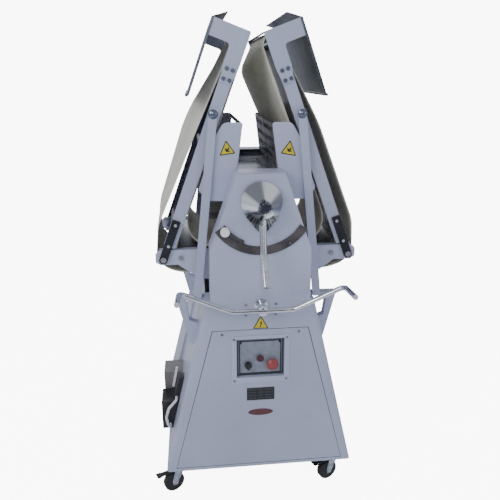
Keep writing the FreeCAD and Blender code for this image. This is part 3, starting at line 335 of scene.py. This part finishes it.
metal("bar chrome", (0.60, 0.62, 0.68), (0.86, 0.87, 0.92), (0.08, 0.16), (8.0, 30.0, 30.0))
metal("roller chrome", (0.62, 0.64, 0.68), (0.82, 0.83, 0.86), (0.12, 0.22), (3.0, 3.0, 60.0))
metal("stainless", (0.30, 0.31, 0.33), (0.46, 0.47, 0.50), (0.24, 0.38), (4.0, 60.0, 4.0), 0.08)
# Painted shade: the stainless for the top tray and catch pans is darkened to a brownish near-black,
# standing in for the shade inside them.
metal("dark stainless", (0.07, 0.085, 0.10), (0.19, 0.21, 0.25), (0.28, 0.45), (4.0, 60.0, 4.0), 0.08)
metal("dial steel", (0.085, 0.08, 0.085), (0.19, 0.175, 0.18), (0.34, 0.52), (9.0, 9.0, 9.0), 0.12)
metal("link steel", (0.008, 0.009, 0.012), (0.022, 0.024, 0.034), (0.30, 0.48), (9.0, 9.0, 9.0), 0.1,
      fittings=(0.2342, (0.55, 0.56, 0.60), 0.25, 0.35))
metal("ground steel", (0.40, 0.41, 0.43), (0.58, 0.59, 0.61), (0.25, 0.4), (4.0, 4.0, 50.0), 0.08)
metal("zinc screws", (0.12, 0.13, 0.16), (0.30, 0.31, 0.35), (0.22, 0.36), (40.0, 40.0, 40.0), 0.08)
metal("castor zinc", (0.10, 0.13, 0.18), (0.60, 0.66, 0.74), (0.16, 0.34), (20.0, 20.0, 20.0), 0.1)
metal("chain steel", (0.05, 0.045, 0.04), (0.14, 0.13, 0.12), (0.4, 0.6), (30.0, 30.0, 30.0), 0.2)
metal("cast housing", (0.08, 0.085, 0.09), (0.16, 0.17, 0.18), (0.45, 0.65), (20.0, 20.0, 20.0), 0.3)

# %% [markdown]
# ## Plastics and rubber
# Knobs, buttons and wheels are moulded. Their colour is even, so it sits on the shader
# itself; the interest is in uneven gloss and a fine moulding texture.
# %% Plastics
def plastic(name, colour, rough=(0.28, 0.42), bump=0.05, scale=300.0):
    material, tree, shader, place = start(name)
    shader.inputs["Specular IOR Level"].default_value = 0.5
    worn = noise(tree, place, 60.0, 5.0, 0.6)
    tree.links.new(tinted(tree, worn, shade(colour, 0.8), shade(colour, 1.12)),
                   shader.inputs["Base Color"])
    tree.links.new(between(tree, noise(tree, place, 45.0, 4.0), *rough), shader.inputs["Roughness"])
    bumped(tree, shader, noise(tree, place, scale, 2.0), bump, 0.0004)
    return material


plastic("white knob", (0.80, 0.80, 0.83), (0.22, 0.34))
plastic("black plastic", (0.012, 0.012, 0.016), (0.35, 0.55), 0.12)
plastic("navy cap", (0.012, 0.016, 0.038), (0.25, 0.4))
plastic("black selector", (0.012, 0.013, 0.02), (0.22, 0.34))
plastic("start maroon", (0.055, 0.008, 0.018), (0.22, 0.34))
plastic("stop red", (0.27, 0.045, 0.05), (0.35, 0.5))
plastic("wheel rubber", (0.014, 0.014, 0.015), (0.5, 0.7), 0.3, 160.0)
plastic("white lead", (0.74, 0.74, 0.78), (0.4, 0.5))
plastic("panel grey", (0.21, 0.23, 0.29), (0.38, 0.5), 0.08)
# This dark finish is rubber on the recess rings and painted shadow in the door gap.
plastic("gasket rubber and gap shadow", (0.035, 0.05, 0.055), (0.5, 0.65), 0.1)
plastic("label yellow", (0.62, 0.50, 0.02), (0.35, 0.5), 0.06)
plastic("label black", (0.012, 0.013, 0.018), (0.35, 0.5), 0.06)
plastic("plate enamel", (0.006, 0.008, 0.014), (0.25, 0.4), 0.05)
plastic("plate print", (0.03, 0.033, 0.045), (0.3, 0.45), 0.05)
plastic("plate silver", (0.32, 0.33, 0.36), (0.25, 0.4), 0.05)
plastic("badge red", (0.10, 0.03, 0.035), (0.25, 0.4), 0.05)

# %% [markdown]
# ## Two finishes in one piece
# The lever's hub is a cone turned on a lathe, so its grooves run round the axis. The bow-tie
# fan of highlights and dark wedges that such grooves reflect is painted into the hub's colour:
# painted highlights drawn from the angle round the axis, which fade to plain chrome down the
# shaft. The isolator and its socket share a node: the depth from the front decides which is grey and
# which is black.
# %% Turned chrome with painted highlights, and isolator
HUB_Z = 1.082
material, tree, shader, place = start("turned chrome with painted highlights")
parts = add(tree, "SeparateXYZ", {"Vector": place})
rise = add(tree, "Math", {0: parts.outputs["Z"], 1: HUB_Z}, operation="SUBTRACT").outputs[0]
angle = add(tree, "Math", {0: parts.outputs["X"], 1: rise}, operation="ARCTAN2").outputs[0]
# Painted highlights: three bright and three dark wedges round the hub's axis, standing in for light
# reflected by the lathe grooves.
highlight_fan = add(tree, "Math", {0: angle, 1: 3.0}, operation="MULTIPLY").outputs[0]
highlight_fan = add(tree, "Math", {0: highlight_fan}, operation="SINE").outputs[0]
# This noise adds finer painted streaks to the fan, and further down it also varies the gloss and bumps
# the grooves.
groove_and_highlight_noise = add(tree, "TexNoise", {"W": angle, "Scale": 9.0, "Detail": 3.0},
               noise_dimensions="1D").outputs["Fac"]
highlight_fan = add(tree, "Math", {0: highlight_fan, 1: groove_and_highlight_noise}, operation="ADD").outputs[0]
away = add(tree, "Math", {0: parts.outputs["X"], 1: 2.0}, operation="POWER").outputs[0]
down = add(tree, "Math", {0: rise, 1: 2.0}, operation="POWER").outputs[0]
reach = add(tree, "Math", {0: away, 1: down}, operation="ADD").outputs[0]
reach = add(tree, "Math", {0: reach}, operation="SQRT").outputs[0]
on_cone = between(tree, reach, 1.0, 0.0, 0.062, 0.066)
# Painted highlights and shade: the fan runs the cone's colour from dark grey to near white.
painted_highlights = tinted(tree, highlight_fan, (0.30, 0.31, 0.34), (0.95, 0.97, 1.0), 0.10, 1.0)
plain = tinted(tree, noise(tree, place, 12.0), (0.48, 0.50, 0.55), (0.70, 0.72, 0.78))
tree.links.new(blended(tree, on_cone, plain, painted_highlights), shader.inputs["Base Color"])
shader.inputs["Metallic"].default_value = 1.0
tree.links.new(between(tree, groove_and_highlight_noise, 0.10, 0.24), shader.inputs["Roughness"])
bumped(tree, shader, groove_and_highlight_noise, 0.05, 0.0002)

material, tree, shader, place = start("isolator plastic")
depth = add(tree, "SeparateXYZ", {"Vector": place}).outputs["Y"]
behind = add(tree, "Math", {0: depth, 1: FRONT_Y + 0.225}, operation="GREATER_THAN").outputs[0]
tree.links.new(blended(tree, behind, (0.014, 0.014, 0.02), (0.17, 0.165, 0.175)),
               shader.inputs["Base Color"])
tree.links.new(between(tree, noise(tree, place, 45.0), 0.38, 0.6), shader.inputs["Roughness"])
bumped(tree, shader, noise(tree, place, 300.0, 2.0), 0.1, 0.0004)

# %% [markdown]
# ## Slotted guard
# Each guard has two painted cheeks with a bare steel sheet between them. They are one CAD
# node, so the distance from the middle plane decides which finish a point gets.
# %% Guard finish
material, tree, shader, place = start("guard sheet")
cheek = outside(tree, place, 0.2357)
sheet_tone = tinted(tree, noise(tree, stretched(tree, place, (30.0, 5.0, 5.0)), 4.0, 5.0),
                    (0.075, 0.068, 0.062), (0.17, 0.155, 0.145))
paint_tone = tinted(tree, noise(tree, place, 3.5, 4.0), shade(PAINT, 0.98), shade(PAINT, 1.1))
tree.links.new(blended(tree, cheek, sheet_tone, paint_tone), shader.inputs["Base Color"])
tree.links.new(between(tree, cheek, 0.7, 0.0, 0.0, 1.0), shader.inputs["Metallic"])
tree.links.new(between(tree, noise(tree, place, 24.0), 0.32, 0.46), shader.inputs["Roughness"])
bumped(tree, shader, noise(tree, place, 420.0, 2.0), 0.05, 0.0006)

# %% [markdown]
# ## Woven belt
# The conveyor belts are coated cotton: cream, matt, with a weave fine enough to be felt more
# than seen. The weave follows the cloth, so it is drawn in the belt's own UV map, once across
# and once along. Flour leaves pale patches and the weave's crossings run a little darker.
# %% Belt finish
material, tree, shader, place = start("belt cloth")
uv = add(tree, "TexCoord").outputs["UV"]
across = add(tree, "TexWave", {"Vector": uv, "Scale": 110.0, "Distortion": 0.4},
             bands_direction="X").outputs["Fac"]
along = add(tree, "TexWave", {"Vector": uv, "Scale": 110.0, "Distortion": 0.4},
            bands_direction="Y").outputs["Fac"]
weave = add(tree, "Math", {0: across, 1: along}, operation="MULTIPLY").outputs[0]
flour = noise(tree, place, 9.0, 6.0, 0.6)
cloth_tone = tinted(tree, flour, (0.50, 0.49, 0.40), (0.66, 0.655, 0.60))
cloth_tone = blended(tree, between(tree, weave, 0.0, 0.18, 0.0, 1.0), cloth_tone, (0.42, 0.40, 0.31))
tree.links.new(cloth_tone, shader.inputs["Base Color"])
tree.links.new(between(tree, flour, 0.72, 0.9), shader.inputs["Roughness"])
shader.inputs["Sheen Weight"].default_value = 0.15
bumped(tree, shader, weave, 0.25, 0.0006)

# %% [markdown]
# ## Giving each CAD part its finish
# One table says which finish each CAD node wears. The mesh itself is left as it is, only its
# material slot changes.
# %% Finish table
WEARS = {
    "floor_frame": "cabinet paint", "front_casing": "cabinet paint", "rear_casing": "cabinet paint",
    "front_door": "door paint", "control_frame": "cover paint", "control_panel": "panel grey",
    "front_plates": "label black", "head_front_cover": "cover paint",
    "head_rear_cover": "cover paint", "side_plates": "ground steel",
    "top_tray_and_scrapers": "dark stainless", "pivot_arms": "arm paint",
    "fixed_beds": "stainless", "strut_rests": "cover paint", "scale_arc": "dial steel",
    "handlebar_bearing": "bar chrome", "gearmotor": "cast housing", "drive_chain": "chain steel",
    "isolator_and_socket": "isolator plastic", "isolator_lead": "white lead",
    "isolator_switch": "white knob", "casing_screws": "zinc screws", "gap_lever": "turned chrome with painted highlights", "lever_grip": "bar chrome",
    "upper_carriage": "ground steel", "upper_roller": "roller chrome",
    "lower_roller": "roller chrome", "left_drive_roller": "roller chrome",
    "right_drive_roller": "roller chrome", "handlebar": "bar chrome", "stop_knob": "white knob",
    "selector_knob": "black selector", "start_button": "start maroon", "stop_button": "stop red",
}
for side in ("left_", "right_"):
    WEARS.update({
        side + "table_frame": "table paint", side + "table_bed": "stainless",
        side + "table_links": "link steel", side + "catch_pan": "dark stainless",
        side + "belt": "belt cloth", side + "nose_roller": "roller chrome",
        side + "struts": "strut paint", side + "guard": "guard sheet",
    })
for corner in ("front_left", "front_right", "rear_left", "rear_right"):
    WEARS.update({corner + "_castor_fork": "castor zinc", corner + "_castor_wheel": "wheel rubber"})
for corner in ("front_left", "front_right"):
    WEARS[corner + "_castor_brake"] = "black plastic"


def wear(obj, finish):
    obj.data.materials.clear()
    obj.data.materials.append(FINISHES[finish])
    return obj


bare = sorted(set(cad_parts) - set(WEARS))
for node_name, finish in WEARS.items():
    wear(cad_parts[node_name], finish)
print("dressed", len(WEARS), "nodes; without a finish:", bare)

# %% [markdown]
# ## Shapes for the added pieces
# Everything added from here on is thin and lies on the sheet metal: labels, plates, gaskets
# and seams. Each starts as a flat shape in the front plane, is rounded with a bevel, and is
# then extruded towards the operator by its thickness. The helper takes places as x and
# height, as one would measure them with a rule on the machine.
# %% Flat pieces on the front
def flat_piece(name, corners, face, thick, finish, round_by=0.0, body="base", hole=None, smooth=30):
    """A plate in the front plane: face is the depth it lies on, thick how far it stands out."""
    bm = bmesh.new()
    outline = bm.faces.new([bm.verts.new((x, FRONT_Y + face, z)) for x, z in corners])
    if hole:
        bm.normal_update()
        bmesh.ops.inset_region(bm, faces=[outline], thickness=hole, use_even_offset=True,
                               use_boundary=True)
        bmesh.ops.delete(bm, geom=[outline], context="FACES_ONLY")
    if round_by:
        bmesh.ops.bevel(bm, geom=list(bm.verts), offset=round_by, offset_type="OFFSET", segments=5,
                        profile=0.5, affect="VERTICES", material=-1)
    bmesh.ops.recalc_face_normals(bm, faces=list(bm.faces))
    out = bmesh.ops.extrude_face_region(bm, geom=list(bm.faces))["geom"]
    moved = [v for v in out if isinstance(v, bmesh.types.BMVert)]
    bmesh.ops.translate(bm, verts=moved, vec=(0, -thick, 0))
    bmesh.ops.recalc_face_normals(bm, faces=list(bm.faces))
    obj = wear(mesh_object(name, bm, smooth), finish)
    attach(obj, body)
    return obj


def ellipse_corners(centre_x, centre_z, half_width, half_height, count=48):
    turns = [2 * pi * i / count for i in range(count)]
    return [(centre_x + half_width * cos(a), centre_z + half_height * sin(a)) for a in turns]


def grown(corners, amount):
    """A convex outline moved outwards from its middle by a share of its size."""
    mid_x = sum(x for x, _ in corners) / len(corners)
    mid_z = sum(z for _, z in corners) / len(corners)
    return [(mid_x + (x - mid_x) * amount, mid_z + (z - mid_z) * amount) for x, z in corners]


# %% [markdown]
# ## Warning triangles
# The labels are the usual yellow triangle with a dark rim and a plain dark mark. The rim is
# a slightly larger plate under a smaller yellow one, and the mark is a few small shapes on
# top, far too small to be a drawing of anything.
# %% Warning triangles
def warning(name, corners, face, body, marks):
    rim = flat_piece(name + "_rim", corners, face, 0.0005, "label black", 0.004, body)
    fill = flat_piece(name + "_face", grown(corners, 0.80), face - 0.0005, 0.0003, "label yellow",
                      0.002, body)
    made = [rim, fill]
    mid_x = sum(x for x, _ in corners) / 3
    mid_z = sum(z for _, z in corners) / 3
    for i, (dx, dz, half_w, half_h) in enumerate(marks):
        made.append(flat_piece(f"{name}_mark_{i + 1}",
                               ellipse_corners(mid_x + dx, mid_z + dz, half_w, half_h, 20),
                               face - 0.0008, 0.0002, "label black", body=body))
    return made


BLOT = ((0.0, -0.002, 0.0055, 0.0045), (-0.0045, 0.003, 0.003, 0.002), (0.005, 0.004, 0.0025, 0.0035),
        (0.006, -0.005, 0.003, 0.002))
LEFT_TRIANGLE = ((-0.1195, 1.2075), (-0.0693, 1.2142), (-0.0990, 1.2553))
RIGHT_TRIANGLE = ((0.0720, 1.2121), (0.1222, 1.2027), (0.1030, 1.2533))
BASE_TRIANGLE = ((-0.026, 0.657), (0.026, 0.657), (0.0, 0.703))
GUARD_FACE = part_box("right_guard")[0].y - FRONT_Y
warning("left_guard_label", LEFT_TRIANGLE, GUARD_FACE, "left_guard", BLOT)
warning("right_guard_label", RIGHT_TRIANGLE, GUARD_FACE, "right_guard", BLOT)
base_label = warning("base_label", BASE_TRIANGLE, 0.0, "base",
                     ((0.001, 0.004, 0.0022, 0.008), (-0.001, -0.007, 0.0022, 0.003)))
print("guard face at depth", round(GUARD_FACE, 4))

# %% [markdown]
# ## Rating plate and badge
# The rating plate is dark enamel with a thin bright edge and a grid of paler cells where a
# real one would be printed. The badge is a small plain dark-red oval.
# Together with the base triangle they take the place of the plain CAD plates.
# %% Rating plate and badge
PLATE_LEFT, PLATE_RIGHT, PLATE_LOW, PLATE_HIGH = -0.048, 0.050, 0.386, 0.438


def rectangle(left, right, low, high):
    return [(left, low), (right, low), (right, high), (left, high)]


plate_edge = flat_piece("rating_plate_edge", rectangle(PLATE_LEFT, PLATE_RIGHT, PLATE_LOW, PLATE_HIGH),
                        0.0, 0.0006, "plate silver", 0.002)
flat_piece("rating_plate", rectangle(PLATE_LEFT + 0.002, PLATE_RIGHT - 0.002, PLATE_LOW + 0.002,
                                     PLATE_HIGH - 0.002), -0.0006, 0.0002, "plate enamel", 0.001)
cell = 0
for row in range(4):
    for left, right in ((0.006, 0.034), (0.040, 0.058), (0.064, 0.092)):
        low = PLATE_LOW + 0.007 + row * 0.011
        cell += 1
        flat_piece(f"rating_cell_{cell}", rectangle(PLATE_LEFT + left, PLATE_LEFT + right, low,
                                                    low + 0.005), -0.0008, 0.0001, "plate print")
badge = flat_piece("badge", ellipse_corners(0.001, 0.340, 0.043, 0.0125), 0.0, 0.001, "badge red")
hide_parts("front_plates")

# %% [markdown]
# ## Seams and gaskets
# Two dark lines say that the base opens: the shadow gap round the door, and the rubber ring
# that seals the control recess. Both are strips a millimetre or two wide: the ring is rubber, while the
# strip in the door gap is painted shadow standing in for the shade inside the gap.
# %% Seams and gaskets
seam = [(-0.2968, 0.1275), (0.2968, 0.1275), (0.1600, 0.6552), (-0.1600, 0.6552)]
# Painted shadow: a dark strip laid just behind the door gap, standing in for the shade inside the gap.
flat_piece("door_gap_painted_shadow", seam, 0.0012, 0.0007, "gasket rubber and gap shadow", hole=0.0030)
ring = rectangle(-0.079, 0.079, 0.479, 0.619)
flat_piece("recess_gasket", ring, 0.0136, 0.0012, "gasket rubber and gap shadow", hole=0.0045)
inner_ring = rectangle(-0.070, 0.070, 0.487, 0.608)
flat_piece("panel_gasket", inner_ring, 0.0100, 0.0008, "gasket rubber and gap shadow", 0.004, hole=0.0022)
for i, (x, z) in enumerate(((-0.066, 0.602), (0.066, 0.602))):
    flat_piece(f"panel_screw_{i + 1}", ellipse_corners(x, z, 0.0042, 0.0042, 24), 0.0092, 0.0012,
               "black plastic")

# %% [markdown]
# ## Lever cap and handlebar disc
# The hub ends in a dark plastic plug, and the handlebar's hub in a bright disc.
# Each is a short turned piece: a circle extruded along its axis with its front edge
# bevelled, then placed with one matrix.
# %% Lever cap and handlebar disc
def turned_piece(name, radius, length, start_point, axis, finish, body, round_by=0.001):
    bm = bmesh.new()
    bmesh.ops.create_cone(bm, cap_ends=True, segments=48, radius1=radius, radius2=radius,
                          depth=length)
    rims = [e for e in bm.edges if all(v.co.z > length / 2 - 1e-6 for v in e.verts)]
    bmesh.ops.bevel(bm, geom=rims, offset=round_by, offset_type="OFFSET", segments=3, profile=0.5,
                    affect="EDGES", material=-1)
    turn = Vector(axis).to_track_quat("Z", "Y").to_matrix().to_4x4()
    middle = Vector(start_point) + Vector(axis).normalized() * length / 2
    bmesh.ops.transform(bm, matrix=Matrix.Translation(middle) @ turn, verts=list(bm.verts))
    obj = wear(mesh_object(name, bm, 30), finish)
    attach(obj, body)
    return obj


turned_piece("lever_cap", 0.0131, 0.0078, (0, FRONT_Y - 0.0857, HUB_Z), (0, -1, 0), "navy cap",
             "gap_lever")
turned_piece("handlebar_cap", 0.0120, 0.0015, (0, FRONT_Y - 0.054, 0.742), (0, -1, 0),
             "bar chrome", "handlebar")

# %% [markdown]
# ## Conveyor belts
# With the tables folded the belts are slack: the outer run hugs the table and the inner run
# hangs in a shallow bow. The cloth is one closed loop. Its corners are placed in table
# coordinates, along the table and out from it, and each corner is rounded by a vertex bevel.
# A slack belt also creeps sideways, so its front edge lies close to the table while its rear
# edge hangs out. Both edges are drawn, and the cloth is extruded from one to the other.
# %% Belt loops
FOLD_LEAN = radians(20.3)
PIVOT_X, PIVOT_Z = 0.3085, 0.8705
BELT_THICK, NOSE_OUT = 0.0025, 0.0210
NOSE_T = 0.728


def folded(t, h):
    """A point of the right table when folded: t along it from the pivot, h out from it."""
    return (PIVOT_X - t * sin(FOLD_LEAN) - h * cos(FOLD_LEAN),
            PIVOT_Z + t * cos(FOLD_LEAN) - h * sin(FOLD_LEAN))


LEAVE = NOSE_T + 0.008 + NOSE_OUT * hypot(1.0, 1.0)
TOP_H = 0.008 + NOSE_OUT


def belt_corners(upper, lower):
    """Corners and radii of the loop; upper and lower are how far its two runs hang off."""
    return (
        ((0.0660, 0.8990), 0.030),
        ((0.2660, 0.8990), 0.095),
        (folded(0.250, TOP_H + 0.003), 0.300),
        (folded(0.500, TOP_H + upper * 0.85), 0.300),
        (folded(LEAVE - TOP_H - upper, TOP_H + upper), min(0.055, NOSE_OUT + upper * 0.6)),
        (folded(NOSE_T + NOSE_OUT, LEAVE - NOSE_T - NOSE_OUT), 0.020),
        (folded(NOSE_T + NOSE_OUT, 0.008 - NOSE_OUT), 0.020),
        (folded(0.640, -0.021 - lower * 0.3), 0.150),
        (folded(0.440, -0.050 - lower), 0.500),
        (folded(0.095, -0.057 - lower * 0.3), 0.120),
        ((0.334, 0.866), 0.040),
        ((0.302, 0.828), 0.060),
        ((0.215, 0.797), 0.200),
        ((0.0660, 0.8380), 0.030),
    )


def belt_edge(upper, lower, count):
    """One edge of the loop as evenly spaced points, in x and height."""
    route = belt_corners(upper, lower)
    ends = [Vector((x, 0, z)) for (x, z), _ in route]
    bm = bmesh.new()
    corners = [bm.verts.new(p) for p in ends]
    bm.faces.new(corners)
    for i, vert in enumerate(corners):
        turn = pi - (ends[i - 1] - ends[i]).angle(ends[(i + 1) % len(ends)] - ends[i])
        bmesh.ops.bevel(bm, geom=[vert], offset=route[i][1] * tan(turn / 2), segments=8,
                        offset_type="OFFSET", profile=0.5, affect="VERTICES", material=-1)
    bm.faces.ensure_lookup_table()
    path = [v.co.copy() for v in bm.faces[0].verts]
    bm.free()
    first = min(range(len(path)), key=lambda i: (path[i] - ends[0]).length)
    path = path[first:] + path[:first]
    path.append(path[0])
    spans = [(b - a).length for a, b in zip(path, path[1:])]
    whole, points = sum(spans), []
    for n in range(count):
        left, k = whole * n / count, 0
        while left > spans[k]:
            left -= spans[k]
            k += 1
        points.append(path[k].lerp(path[k + 1], left / spans[k]))
    return points, whole


AROUND, ACROSS = 220, 14


def belt(side, name, near_slack, far_slack):
    """A closed belt whose front and rear edges hang differently; side is 1 on the right."""
    low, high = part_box(name)
    near, whole = belt_edge(*near_slack, AROUND)
    far, _ = belt_edge(*far_slack, AROUND)
    bm = bmesh.new()
    ring = bmesh.ops.create_circle(bm, cap_ends=False, segments=AROUND)["verts"]
    rings = [ring]
    for _ in range(ACROSS):
        edges = [e for e in bm.edges if all(v in rings[-1] for v in e.verts)]
        made = bmesh.ops.extrude_edge_only(bm, edges=edges)["geom"]
        new = {v for v in made if isinstance(v, bmesh.types.BMVert)}
        rings.append([next(e.other_vert(v) for e in v.link_edges if e.other_vert(v) in new)
                      for v in rings[-1]])
    spot = {}
    for step, verts in enumerate(rings):
        share = step / ACROSS
        ripple = 0.0012 * sin(share * 3 * pi)
        for n, v in enumerate(verts):
            p = near[n].lerp(far[n], share ** 0.8)
            slack = min(1.0, (near[n] - far[n]).length / 0.02)
            v.co = (side * (p.x + ripple * slack), low.y + (high.y - low.y) * share, p.z)
            spot[v] = (n, share)
    weave_map = bm.loops.layers.uv.new("belt")
    for face in bm.faces:
        places = [spot[c.vert] for c in face.loops]
        wraps = max(n for n, _ in places) - min(n for n, _ in places) > AROUND / 2
        for corner, (n, share) in zip(face.loops, places):
            n = AROUND if wraps and n == 0 else n
            corner[weave_map].uv = (share * (high.y - low.y), n * whole / AROUND)
    bm.normal_update()
    probe = min(bm.faces, key=lambda f: f.calc_center_median().x * side)
    if probe.normal.x * side > 0:
        bmesh.ops.reverse_faces(bm, faces=list(bm.faces))
    obj = wear(mesh_object(name + "_cloth", bm, 60), "belt cloth")
    thick = obj.modifiers.new("thickness", "SOLIDIFY")
    thick.thickness, thick.offset = BELT_THICK, -1.0
    thick.use_even_offset = True
    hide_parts(name)
    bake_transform(obj)
    return obj, whole


for side, name, near_slack, far_slack in ((1, "right_belt", (0.014, 0.0), (0.070, 0.0)),
                                          (-1, "left_belt", (0.004, -0.020), (0.004, 0.022))):
    obj, whole = belt(side, name, near_slack, far_slack)
    print(name, "loop", round(whole, 4), "width", round(obj.dimensions.y, 4))
